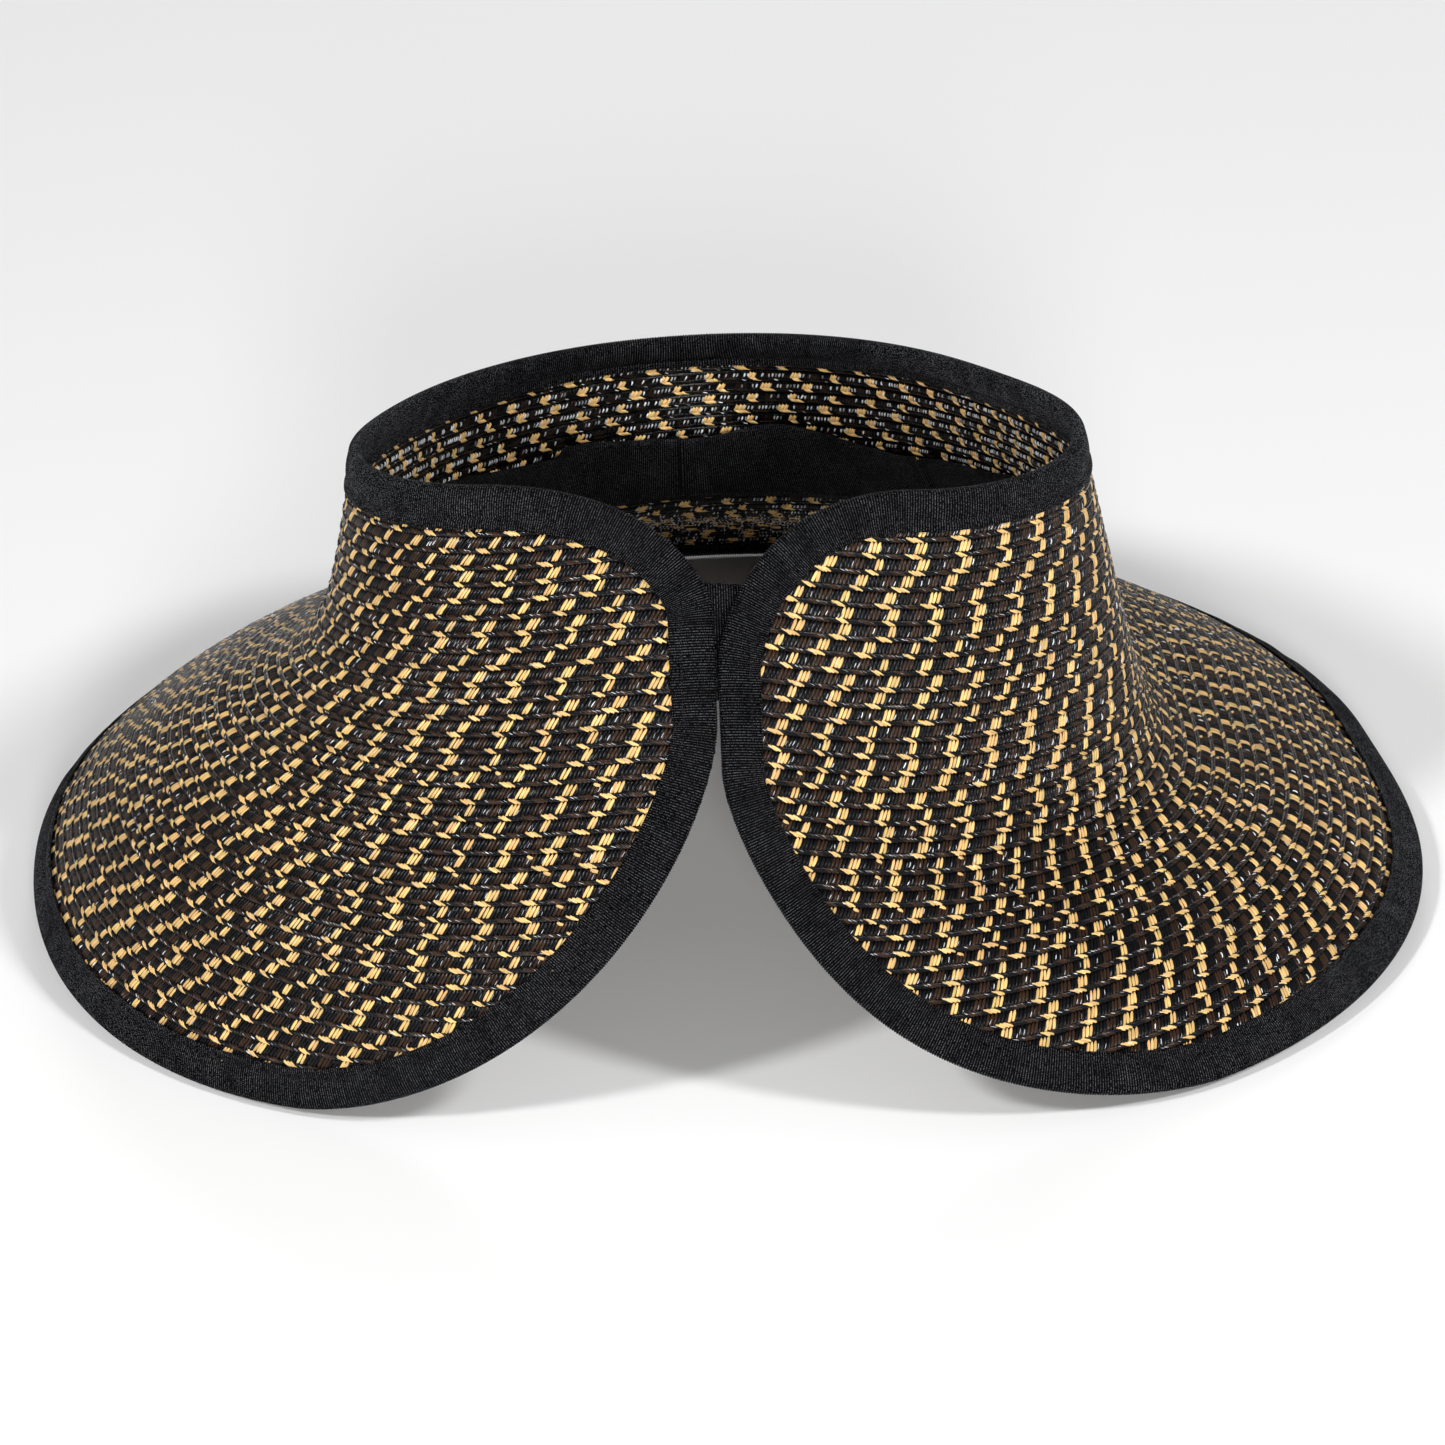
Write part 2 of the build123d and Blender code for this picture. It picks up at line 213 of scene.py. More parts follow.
def make_object(name, points, quads, material, colour=None, uv=None, ngons=()):
    """A smooth mesh object from millimetre points, with optional point colours and uv."""
    mesh = bpy.data.meshes.new(name)
    points = np.asarray(points).reshape(-1, 3) * MM
    quads = np.asarray(quads)
    mesh.vertices.add(len(points))
    mesh.vertices.foreach_set("co", points.astype(np.float32).ravel())
    loops = quads.ravel()
    starts = np.arange(0, len(loops), 4)
    extra = [list(g) for g in ngons]
    if extra:
        starts = np.concatenate([starts, len(loops) + np.cumsum([0] + [len(g) for g in extra[:-1]])])
        loops = np.concatenate([loops] + extra)
    mesh.loops.add(len(loops))
    mesh.loops.foreach_set("vertex_index", loops.astype(np.int32))
    mesh.polygons.add(len(starts))
    mesh.polygons.foreach_set("loop_start", starts.astype(np.int32))
    mesh.update(calc_edges=True)
    mesh.validate()
    mesh.shade_smooth()
    if colour is not None:
        layer = mesh.color_attributes.new("strand", "FLOAT_COLOR", "POINT")
        rgba = np.ones((len(points), 4), np.float32)
        rgba[:, :3] = np.asarray(colour).reshape(-1, 3)
        layer.data.foreach_set("color", rgba.ravel())
    if uv is not None:
        layer = mesh.uv_layers.new(name="along")
        corner = np.empty(len(mesh.loops), np.int32)
        mesh.loops.foreach_get("vertex_index", corner)
        layer.data.foreach_set("uv", np.asarray(uv).reshape(-1, 2)[corner].astype(np.float32).ravel())
    mesh.materials.append(material)
    obj = bpy.data.objects.new(name, mesh)
    bpy.context.collection.objects.link(obj)
    return obj


def add_piece(obj, body, slot, *nodes):
    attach(obj, body)
    if nodes:
        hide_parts(*nodes)
    return obj


# ---------------------------------------------------------------- materials
def new_material(name):
    material = bpy.data.materials.new(name)
    material.use_nodes = True
    return material, material.node_tree.nodes, material.node_tree.links


def straw_material():
    material, nodes, links = new_material("straw_braid")
    shader = nodes["Principled BSDF"]
    tone = nodes.new("ShaderNodeAttribute")
    tone.attribute_name = "strand"
    uv = nodes.new("ShaderNodeUVMap")
    uv.uv_map = "along"
    scale = nodes.new("ShaderNodeMapping")
    scale.inputs["Scale"].default_value = (0.35, 9.0, 1.0)
    fibre = nodes.new("ShaderNodeTexNoise")
    fibre.inputs["Scale"].default_value = 1.0
    fibre.inputs["Detail"].default_value = 4.0
    shade = nodes.new("ShaderNodeMapRange")
    shade.inputs["From Min"].default_value = 0.3
    shade.inputs["From Max"].default_value = 0.7
    shade.inputs["To Min"].default_value = 0.62
    shade.inputs["To Max"].default_value = 1.18
    tint = nodes.new("ShaderNodeVectorMath")
    tint.operation = "SCALE"
    bump = nodes.new("ShaderNodeBump")
    bump.inputs["Strength"].default_value = 0.5
    bump.inputs["Distance"].default_value = 0.00012
    links.new(uv.outputs["UV"], scale.inputs["Vector"])
    links.new(scale.outputs["Vector"], fibre.inputs["Vector"])
    links.new(fibre.outputs["Fac"], shade.inputs["Value"])
    links.new(tone.outputs["Color"], tint.inputs[0])
    links.new(shade.outputs["Result"], tint.inputs["Scale"])
    links.new(tint.outputs["Vector"], shader.inputs["Base Color"])
    links.new(fibre.outputs["Fac"], bump.inputs["Height"])
    links.new(bump.outputs["Normal"], shader.inputs["Normal"])
    shader.inputs["Roughness"].default_value = 0.23
    shader.inputs["Specular IOR Level"].default_value = 0.16
    return material


def ribbon_material(name, dark, crest_highlight, thread_scale, roughness):
    """Black woven ribbon, with a painted highlight in dots along its rib crests. uv: ribs along x, one
    unit each; millimetres across along y.
    """
    material, nodes, links = new_material(name)
    shader = nodes["Principled BSDF"]

    def math_node(operation, *values):
        node = nodes.new("ShaderNodeMath")
        node.operation = operation
        for socket, value in zip(node.inputs, values):
            if isinstance(value, (int, float)):
                socket.default_value = value
            else:
                links.new(value, socket)
        return node.outputs[0]

    uv = nodes.new("ShaderNodeUVMap")
    uv.uv_map = "along"
    parts = nodes.new("ShaderNodeSeparateXYZ")
    links.new(uv.outputs["UV"], parts.inputs["Vector"])
    # 0 between the ribs, 1 on their crests, where the painted highlight goes
    crest = math_node("COSINE", math_node("MULTIPLY", parts.outputs["X"], 2 * math.pi))
    crest = math_node("POWER", math_node("MULTIPLY_ADD", crest, 0.5, 0.5), 4.0)
    weave = nodes.new("ShaderNodeMapping")
    weave.inputs["Scale"].default_value = (1.0, thread_scale, 1.0)
    threads = nodes.new("ShaderNodeTexNoise")
    threads.inputs["Scale"].default_value = 1.6
    threads.inputs["Detail"].default_value = 2.0
    links.new(uv.outputs["UV"], weave.inputs["Vector"])
    links.new(weave.outputs["Vector"], threads.inputs["Vector"])
    speck = nodes.new("ShaderNodeMapRange")
    speck.inputs["From Min"].default_value = 0.46
    speck.inputs["From Max"].default_value = 0.62
    links.new(threads.outputs["Fac"], speck.inputs["Value"])
    highlight_patches = nodes.new("ShaderNodeTexNoise")
    highlight_patches.inputs["Scale"].default_value = 0.11
    highlight_patches.inputs["Detail"].default_value = 3.0
    links.new(uv.outputs["UV"], highlight_patches.inputs["Vector"])
    lit = math_node("MULTIPLY", crest, speck.outputs["Result"])
    amount = math_node("MULTIPLY", lit, highlight_patches.outputs["Fac"])
    # painted highlight: dots on the rib crests go from the dark colour to the lighter one
    ramp = nodes.new("ShaderNodeValToRGB")
    ramp.color_ramp.elements[0].color = (*dark, 1)
    ramp.color_ramp.elements[1].position = 0.5
    ramp.color_ramp.elements[1].color = (*crest_highlight, 1)
    links.new(amount, ramp.inputs["Fac"])
    links.new(ramp.outputs["Color"], shader.inputs["Base Color"])
    height = math_node("ADD", threads.outputs["Fac"], crest)
    bump = nodes.new("ShaderNodeBump")
    bump.inputs["Strength"].default_value = 0.7
    bump.inputs["Distance"].default_value = 0.0001
    links.new(height, bump.inputs["Height"])
    links.new(bump.outputs["Normal"], shader.inputs["Normal"])
    shader.inputs["Roughness"].default_value = roughness
    shader.inputs["Specular IOR Level"].default_value = 0.03
    return material


STRAW = straw_material()
# the second colour of each material: its painted highlight on the rib crests
RIBBON = ribbon_material("black_ribbon", (0.0004, 0.0004, 0.0005), (0.105, 0.107, 0.116), 2.4, 0.5)
THREAD = ribbon_material("thread", (0.003, 0.003, 0.004), (0.08, 0.08, 0.09), 3.0, 0.45)
PATCH = ribbon_material("hook_and_loop", (0.004, 0.004, 0.005), (0.05, 0.05, 0.055), 3.5, 0.8)

CREAM = (0.77, 0.50, 0.20)
BLACK = (0.0055, 0.0054, 0.0064)
BROWN = (0.033, 0.018, 0.011)
# painted highlight: near-white colour of the glint strips, thin transparent filaments catching the
# light
CLEAR_GLINT_WHITE = (0.80, 0.82, 0.85)
# painted shade: near-black colour of the ground between the two faces, seen in the gaps between the
# floats
GAP_SHADE = (0.0008, 0.0007, 0.0007)

# ---------------------------------------------------------------- braid rows
# Each row has five zones on each face: "wide", the slanting floats of the plait; "rope", the
# twisted floats along its lower seam that lie the other way; two glint zones, thin transparent
# filaments over the dark floats of each, coloured near-white as painted highlights; and "peek",
# cream floats that show in a few rows.
REPEAT = 11.6
STRANDS = 12
STRAND = REPEAT / STRANDS
COLOURS = np.array([CREAM, CREAM, BLACK, BLACK, BLACK, BROWN, BROWN, BROWN, BLACK, BLACK, BLACK, BLACK])
FLOAT_ALONG, FLOAT_ACROSS = 5, 4
UNDER_BINDING = BINDING_WIDTH - 2.0
GROUND_HALF = 0.3


def floats(theta, s, lean_u, lean_v, width, height, base, face, rise=0.0,
           along=FLOAT_ALONG, across=FLOAT_ACROSS):
    """Rounded strips lying on the sheet. lean_u, lean_v: half their run round and down, mm.
    face: 1 outside, -1 inside."""
    t = np.linspace(-1, 1, along)[None, :, None]
    a = np.linspace(-math.pi / 2, math.pi / 2, across)[None, None, :]
    half = np.hypot(lean_u, lean_v)
    side_u, side_v = -lean_v / half, lean_u / half
    taper = 1 - 0.22 * np.abs(t) ** 4
    offset = np.sin(a) * taper
    du = lean_u[:, None, None] * t + side_u[:, None, None] * offset * width[:, None, None] / 2
    dv = lean_v[:, None, None] * t + side_v[:, None, None] * offset * width[:, None, None] / 2
    stretch = look_up(STRETCH, theta, s)[:, None, None]
    dive = 1 - 1.5 * np.abs(t) ** 3.5
    lift = base[:, None, None] + height[:, None, None] * (np.cos(a) * 0.75 + 0.35 * dive) + rise * dv
    points = on_sheet(theta[:, None, None] - du / stretch, s[:, None, None] + dv, face * lift)
    uv = np.stack(np.broadcast_arrays(t * half[:, None, None], offset * width[:, None, None] / 2), -1)
    uv = uv + rng.uniform(0, 50, (len(theta), 1, 1, 2))
    faces = grid_faces(len(theta), along, across)
    return points.reshape(-1, 3), faces, uv.reshape(-1, 2)


def tones(index, third):
    """Colour of each strand from its place in the plait, with its own small variation.
    third: the share of plaits whose third strand is cream as well."""
    place = index % STRANDS
    colour = COLOURS[place].copy()
    colour[(place == 2) & (rng.uniform(size=len(index)) < third)] = CREAM
    colour *= rng.uniform(0.75, 1.15, (len(index), 1))
    light = colour[:, 0] > 0.3
    colour[light] *= rng.uniform(0.93, 1.05, (light.sum(), 3))
    return colour


# shift round, depth in the row, half run round and down, width, height, base and rise, mm
OUTSIDE = {
    "wide": (0.0, 1.34, 0.70, -1.34, 0.78, 0.48, 0.24, 0.12),
    "rope": (2.2, 3.28, 1.16, 0.50, 0.68, 0.46, 0.62, 0.0),
    "clear_glint": (0.40, 1.72, 0.34, -0.64, 0.16, 0.38, 0.47, 0.12),
    "twist_glint": (1.1, 3.22, 0.55, 0.24, 0.13, 0.30, 0.88, 0.0),
    "peek": (0.0, 0.55, 0.75, 0.32, 0.80, 0.40, 0.50, 0.0),
}
INSIDE = {
    "wide": (0.0, 1.60, -0.60, -1.00, 0.95, 0.44, 0.40, 0.0),
    "rope": (0.7, 2.85, -1.20, 0.36, 0.88, 0.40, 0.50, 0.0),
    "clear_glint": (0.40, 1.30, -0.22, -0.62, 0.46, 0.44, 0.66, 0.0),
    "twist_glint": (1.1, 2.90, -0.60, 0.20, 0.20, 0.30, 0.76, 0.0),
    "peek": (0.6, 0.40, -0.9, 0.20, 0.70, 0.30, 0.20, 0.0),
}
ZONES = ("wide", "rope", "clear_glint", "twist_glint", "peek")
SMALL = dict(along=4, across=3)
# share of the dark floats with a glint strip (a transparent filament coloured as a painted
# highlight), outside and inside; the outside share falls towards the front, round the angle
# FALL_ANGLE (degrees), so the painted glints sit on the back petals, where the highlights fall
GLINTS = {"clear_glint": {1: 0.24, -1: 0.52}, "twist_glint": {1: 0.40, -1: 0.08}}
FRONT_SHARE, FALL_ANGLE, FALL_SOFTNESS = 0.25, 118, 8
CREAM_THIRD = 0.55
DEPTH_SCATTER, CLEAR_GLINT_SCATTER = 0.04, 0.22
INSIDE_DARK, INSIDE_LIGHT = 0.4, 1.2
PEEK_ROWS = range(16, 30)
PEEK_PLACE, PEEK_SHARE = 6, 0.7


def braid_row(row, spans):
    """One row's floats and dark ground (painted shade), one object for each (piece name, start, end)
    span.
    """
    s_mid = (row + 0.5) * ROW_PITCH
    theta_line = np.linspace(-math.pi, math.pi, 2001)
    stretch = look_up(STRETCH, theta_line, np.full(2001, s_mid))
    length = np.concatenate([[0], np.cumsum((stretch[1:] + stretch[:-1]) / 2 * np.diff(theta_line))])
    phase = REPEAT * (0.17 * row + 0.22 * math.sin(row * 1.9) + 0.12 * math.sin(row * 0.61))
    peeking = np.clip(0.5 + 0.6 * math.sin(row * 2.3), 0.05, 0.95) if row in PEEK_ROWS else 0.0
    pieces = []
    for name, start, end in spans:
        first = int(np.interp(start, theta_line, length) / STRAND)
        last = int(np.interp(end, theta_line, length) / STRAND)
        index = np.arange(first, last + 1)
        points, faces, colours, uvs = [], [], [], []
        count = 0

        def collect(block, colour):
            nonlocal count
            p, f, uv = block
            points.append(p)
            faces.append(f + count)
            uvs.append(uv)
            colours.append(np.repeat(colour, len(p) // len(colour), 0))
            count += len(p)

        for face in (1, -1):
            for zone in ZONES:
                zones = OUTSIDE if face > 0 else INSIDE
                shift, v, run, fall, width, height, base, rise = zones[zone]
                u = index * STRAND + shift + phase % STRAND + rng.normal(0, 0.05, len(index))
                theta = np.interp(u, length, theta_line)
                scatter = CLEAR_GLINT_SCATTER if zone == "clear_glint" and face > 0 else DEPTH_SCATTER
                s = row * ROW_PITCH + v + rng.normal(0, scatter, len(index))
                places = look_up(SHEET, theta, s)
                inside = (s > top_limit(theta)) & (s < bottom_limit(theta))
                inside &= (theta > start) & (theta < end)
                keep = inside & (edge_distance(places) > UNDER_BINDING)
                order = index + int(phase // STRAND)
                chance = rng.uniform(size=len(index))
                if zone in GLINTS:
                    share = GLINTS[zone][face]
                    if face > 0:
                        past = (np.abs(np.degrees(theta)) - FALL_ANGLE) / FALL_SOFTNESS
                        share = share * (FRONT_SHARE + (1 - FRONT_SHARE) / (1 + np.exp(-past)))
                    keep &= (COLOURS[order % STRANDS, 0] < 0.1) & (chance < share)
                if zone == "peek":
                    keep &= (order % STRANDS == PEEK_PLACE) & (chance < peeking * PEEK_SHARE)
                if not keep.any():
                    continue
                n = int(keep.sum())
                wobble = rng.normal(0, 0.07, n)
                colour = tones(order[keep], CREAM_THIRD)
                if face < 0:
                    colour[colour[:, 0] < 0.2] *= INSIDE_DARK
                    colour[colour[:, 0] > 0.3] *= INSIDE_LIGHT
                # painted highlight: the glint strips get a near-white colour, brighter or dimmer at
                # random
                if zone in GLINTS:
                    colour = np.repeat(np.array([CLEAR_GLINT_WHITE]), n, 0) * rng.uniform(0.15, 1.2, (n, 1))
                if zone == "peek":
                    colour = np.repeat(np.array([CREAM]), n, 0) * rng.uniform(0.7, 1.0, (n, 1))
                grid = {} if zone in ("wide", "rope") else SMALL
                block = floats(theta[keep], s[keep], run + wobble, np.full(n, fall),
                               rng.normal(width, 0.04, n), np.full(n, height),
                               rng.normal(base, 0.03, n), face, rise, **grid)
                collect(block, colour)
        # the ground of crossing strands between the two faces, painted near-black as the shade in the
        # gaps between the floats
        steps = np.linspace(start, end, max(8, int((last - first) / 4)))
        low = np.maximum(row * ROW_PITCH, top_limit(steps) + 0.5)
        high = np.minimum((row + 1) * ROW_PITCH, bottom_limit(steps) - 0.5)
        high = np.maximum(high, low + 0.05)
        corners = [(low, GROUND_HALF), (high, GROUND_HALF),
                   (high, -GROUND_HALF), (low, -GROUND_HALF)]
        band = np.stack([on_sheet(steps, s, w) for s, w in corners], 1)
        faces.append(grid_faces(1, len(steps), 4, wrap=True) + count)
        points.append(band.reshape(-1, 3))
        uvs.append(np.zeros((len(steps) * 4, 2)) + rng.uniform(0, 9, (len(steps) * 4, 2)))
        colours.append(np.repeat([GAP_SHADE], len(steps) * 4, 0))
        pieces.append(make_object(name, np.concatenate(points), np.concatenate(faces), STRAW,
                                  np.concatenate(colours), np.concatenate(uvs)))
    return pieces


def row_spans(row, nodes):
    """(piece name, start, end) of one row's nodes."""
    grid = np.radians(np.linspace(-180, 180, 1801))
    low = np.maximum(row * ROW_PITCH, top_limit(grid))
    high = np.minimum((row + 1) * ROW_PITCH, bottom_limit(grid))
    wide = (high - low > 1.2) & (np.abs(grid) < END_ANGLE)
    edges = np.nonzero(np.diff(wide.astype(int)))[0]
    runs = [(grid[a + 1], grid[b]) for a, b in zip(edges[::2], edges[1::2])]
    runs = [run for run in runs if run[1] - run[0] > math.radians(6)]
    if len(nodes) == 1:
        return [(nodes[0] + "_braid", *max(runs, key=lambda run: run[1] - run[0]))]
    left, right = sorted(nodes)
    if len(runs) == 1:
        runs = [(runs[0][0], 0.0), (0.0, runs[0][1])]
    return [(left + "_braid", *runs[0]), (right + "_braid", *runs[-1])]


row_nodes = {}
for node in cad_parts:
    if node.startswith("straw_row_"):
        row_nodes.setdefault(int(node.split("_")[2]), []).append(node)
for number, nodes in sorted(row_nodes.items()):
    for piece in braid_row(number - 1, row_spans(number - 1, sorted(nodes))):
        add_piece(piece, BODY, "straw_braid", piece.name[:-len("_braid")])


# ---------------------------------------------------------------- ribbons
PITCH = 0.65  # one rib
STATION = PITCH / 4


def length_along(points):
    steps = np.linalg.norm(np.diff(points, axis=0), axis=1)
    return np.concatenate([[0], np.cumsum(steps)])


def woven(name, middle, normal, run, across, thick, material=RIBBON, pitch=PITCH, rib=0.10,
          back_step=1):
    """A ribbon as a closed, thin slab with ribs across it. middle, normal: (along, across, 3)
    arrays in mm; run, across: the lengths in mm at each place, for the ribs and the weave."""
    n, m = middle.shape[:2]
    ribs = rib * np.cos(2 * math.pi * run / pitch)
    edge = np.minimum(np.arange(m), np.arange(m)[::-1])
    round_off = np.where(edge == 0, 0.35, 1.0)[None]
    front = middle + normal * ((thick / 2 + ribs) * round_off)[..., None]
    back = middle - normal * ((thick / 2 - ribs) * round_off)[..., None]
    behind = np.arange(m - 1, -1, -back_step)
    shell = np.concatenate([front, back[:, behind]], 1)
    uv = np.stack([np.broadcast_to(run / pitch, (n, m)), np.broadcast_to(across, (n, m))], 2)
    uv = np.concatenate([uv, uv[:, behind] + [0, 31]], 1)
    columns = m + len(behind)
    faces = grid_faces(1, n, columns, wrap=True)
    last = (n - 1) * columns
    ends = [range(columns), range(last + columns - 1, last - 1, -1)]
    return make_object(name, shell, faces, material, uv=uv, ngons=ends)


def stitches(name, places, runs, outs, length=2.3, radius=0.24, sink=0.22):
    """Short thread bars that dip into the fabric at both ends."""
    t = np.linspace(-1, 1, 7)
    a = np.linspace(0, 2 * math.pi, 7)[:-1]
    size = np.sqrt(np.maximum(0.12, 1 - np.abs(t) ** 3))
    sides = np.cross(outs, runs)
    line = places[:, None] + runs[:, None] * (t * length / 2)[None, :, None]
    line = line + outs[:, None] * (-sink * np.abs(t) ** 3)[None, :, None]
    ring = sides[:, None, None] * np.cos(a)[None, None, :, None]
    ring = ring + outs[:, None, None] * np.sin(a)[None, None, :, None]
    points = line[:, :, None] + ring * (radius * size)[None, :, None, None]
    uv = np.broadcast_to(np.stack(np.meshgrid(t, a, indexing="ij"), -1)[None], (len(places), 7, 6, 2))
    uv = uv + rng.uniform(0, 20, (len(places), 1, 1, 2))
    faces = grid_faces(len(places), 7, 6, wrap=True)
    base = (np.arange(len(places)) * 42)[:, None]
    ends = list(base + np.arange(6)) + list(base + 36 + np.arange(6)[::-1])
    return make_object(name, points, faces, THREAD, uv=uv, ngons=ends)


def slow_noise(length, period, total, amount, seed):
    """Smooth random bends along a length, the same at 0 and at total."""
    draw = np.random.default_rng(seed)
    waves = max(2, int(total / period))
    value = np.zeros(np.shape(length))
    for k in range(1, waves + 1):
        height = draw.normal()
        angle = 2 * math.pi * k * length / total + draw.uniform(0, 6.28)
        value = value + height * np.cos(angle) / math.sqrt(k)
    return amount * value / (np.std(value) + 1e-9)


# ---------------------------------------------------------------- edge binding
edge_line = even_steps(OUTLINE, STATION)[:-1]
edge_line = smooth_closed(edge_line, 60)
edge_places = look_up(SHEET, edge_line[:, 0], edge_line[:, 1])
edge_run = np.roll(edge_places, -3, 0) - np.roll(edge_places, 3, 0)
edge_run = smooth_closed(edge_run / np.linalg.norm(edge_run, axis=1, keepdims=True), 200)
edge_out = look_up(NORMAL, edge_line[:, 0], edge_line[:, 1])
edge_in = np.cross(edge_out, edge_run)
edge_in /= np.linalg.norm(edge_in, axis=1, keepdims=True)
edge_length = np.arange(len(edge_line)) * STATION
edge_total = len(edge_line) * STATION


def inward_step(theta, s, inward):
    """The change of theta and s that moves 1 mm straight in from the edge."""
    a = (look_up(SHEET, theta + 0.002, s) - look_up(SHEET, theta - 0.002, s)) / 0.004
    d = look_up(SHEET, theta, s + 0.6) - look_up(SHEET, theta, np.maximum(s - 0.6, 0))
    d = d / np.where(s < 0.6, 0.6 + s, 1.2)[:, None]
    aa, dd, ad = (a * a).sum(1), (d * d).sum(1), (a * d).sum(1)
    ai, di = (a * inward).sum(1), (d * inward).sum(1)
    scale = aa * dd - ad * ad
    return (ai * dd - di * ad) / scale, (di * aa - ai * ad) / scale


step_theta, step_s = inward_step(edge_line[:, 0], edge_line[:, 1], edge_in)
step_theta, step_s = smooth_closed(step_theta, 60), smooth_closed(step_s, 60)


def in_from_edge(rows, inset, lift):
    """Points inset mm in from the edge and lift mm off the sheet, at stations rows."""
    theta = edge_line[rows, 0][:, None] + step_theta[rows][:, None] * inset
    s = edge_line[rows, 1][:, None] + step_s[rows][:, None] * inset
    below_top = np.minimum(s, 0)
    held = np.maximum(s, 0)
    points = look_up(SHEET, theta, held) + look_up(NORMAL, theta, held) * lift[..., None]
    return points - edge_in[rows][:, None] * (-below_top)[..., None]


FOLD = 1.25  # lift of each leg off the sheet's middle
width_drift = slow_noise(edge_length, 40, edge_total, 0.28, 3)
puff_drift = slow_noise(edge_length, 11, edge_total, 0.07, 4)
inner_width_drift = slow_noise(edge_length, 40, edge_total, 0.35, 5)
STITCH_INSET = 7.0
STITCH_PITCH = 3.15
BINDING_RUNS = 4


def binding_part(name, rows):
    """One run of the folded ribbon: inner edge outside, round the fold, inner edge inside."""
    # distance in from the edge, and how far the stitches pull or the ribbon puffs there
    leg = np.array([BINDING_WIDTH, 9.3, 8.4, 7.5, STITCH_INSET, 6.5, 5.4, 4.0, 2.6, 1.3])
    pull = np.array([-0.10, 0.02, 0.08, -0.14, -0.42, -0.16, 0.12, 0.24, 0.26, 0.14])
    turn = np.radians([90, 60, 30, 0, -30, -60, -90])
    wide = (1 + width_drift[rows] / BINDING_WIDTH)[:, None]
    wide_in = (1 + inner_width_drift[rows] / BINDING_WIDTH)[:, None]
    puff = (1 + 6 * puff_drift[rows])[:, None]
    run = (rows[0] + np.arange(len(rows)))[:, None] * STATION
    outer_in = leg[None] * wide
    outer_lift = FOLD + pull[None] * puff
    fold_in = np.broadcast_to(0.55 - 1.0 * np.cos(turn), (len(rows), 7))
    fold_lift = np.broadcast_to(FOLD * 1.06 * np.sin(turn), (len(rows), 7))
    inset = np.concatenate([outer_in, fold_in, leg[::-1][None] * wide_in], 1)
    lift = np.concatenate([outer_lift, fold_lift, -(FOLD + pull[::-1][None] * puff)], 1)
    middle = in_from_edge(rows, inset, lift)
    along = np.gradient(middle, axis=0)
    over = np.gradient(middle, axis=1)
    normal = np.cross(over, along)
    normal /= np.linalg.norm(normal, axis=2, keepdims=True)
    if (normal[:, 4] * edge_out[rows]).sum(1).mean() < 0:
        normal = -normal
    across = np.concatenate([[0], np.cumsum(np.linalg.norm(np.diff(middle[0], axis=0), axis=1))])[None]
    return woven(name, middle, normal, run, across, 0.5, rib=0.15, back_step=3)


marks = np.linspace(0, len(edge_line), BINDING_RUNS + 1).astype(int)
for k in range(BINDING_RUNS):
    rows = np.arange(marks[k], marks[k + 1] + 1) % len(edge_line)
    piece = binding_part(f"edge_binding_ribbon_{k + 1}", rows)
    add_piece(piece, BODY, "black_ribbon", "edge_binding")

for name, sign, offset in (("binding_stitches_outside", 1, 0.0), ("binding_stitches_inside", -1, 1.6)):
    places_at = np.arange(offset, edge_total - 1.5, STITCH_PITCH)
    rows = (places_at / STATION).astype(int) % len(edge_line)
    inset = STITCH_INSET * (1 + width_drift[rows] / BINDING_WIDTH)[:, None]
    lift = np.full((len(rows), 1), sign * (FOLD - 0.04))
    places = in_from_edge(rows, inset, lift)[:, 0]
    piece = stitches(name, places, edge_run[rows], sign * edge_out[rows])
    add_piece(piece, BODY, "thread", "binding_stitching")

# ---------------------------------------------------------------- sweatband
BAND_END = math.radians(128)
BAND_FOOT = (57.5, (), (8.0,))
BAND_WIDTH = 25.0
BAND_RISES = ((4.5, 6, 5), (-3.5, 19, 6), (4, 42, 7))  # mm, and angle and spread in degrees
BAND_STITCH_PITCH = 3.1
BAND_STITCH_SINK = 0.42


def band_grid():
    """Angles STATION mm apart along the sweatband's foot, and the length so far at each."""
    line = np.linspace(-BAND_END, BAND_END, 4001)
    length = length_along(look_up(SHEET, line, wave(line, *BAND_FOOT)))
    even = np.arange(0, length[-1], STATION)
    return np.interp(even, length, line), even


def hump(theta, centre, spread):
    """A bell of height 1 round the angle centre, in degrees."""
    return np.exp(-((np.degrees(theta) - centre) / spread) ** 2)


band_theta, band_run = band_grid()
band_foot = wave(band_theta, *BAND_FOOT)
band_total = band_run[-1]
band_height = BAND_WIDTH + slow_noise(band_run, 60, band_total, 0.5, 21)
band_height += sum(rise * hump(band_theta, at, spread) for rise, at, spread in BAND_RISES)
band_height += 1.6 * np.tanh((np.degrees(band_theta) + 16.5) * 3) * hump(band_theta, -16.5, 6)
band_lean = 0.9 + slow_noise(band_run, 60, band_total, 0.7, 22)
up = np.linspace(0, 1, 13)[None]
ends_hold = np.clip(np.minimum(band_run, band_total - band_run) / 25, 0, 1)[:, None]
overlap = 0.45 / (1 + np.exp(-(np.degrees(band_theta) + 3.4) * 14))
seam = 0.5 * hump(band_theta, -3.6, 0.22)
fold = 0.8 * hump(band_theta, 21.5, 0.5) - 0.5 * hump(band_theta, 20.6, 0.5)
lift = -(2.1 + np.clip(band_lean, 0, 3)[:, None] * ends_hold * up ** 1.6 + 0.3 * np.sin(up * 3.1))
lift = lift - (overlap - seam + fold)[:, None] * np.clip(up * 4, 0.3, 1)
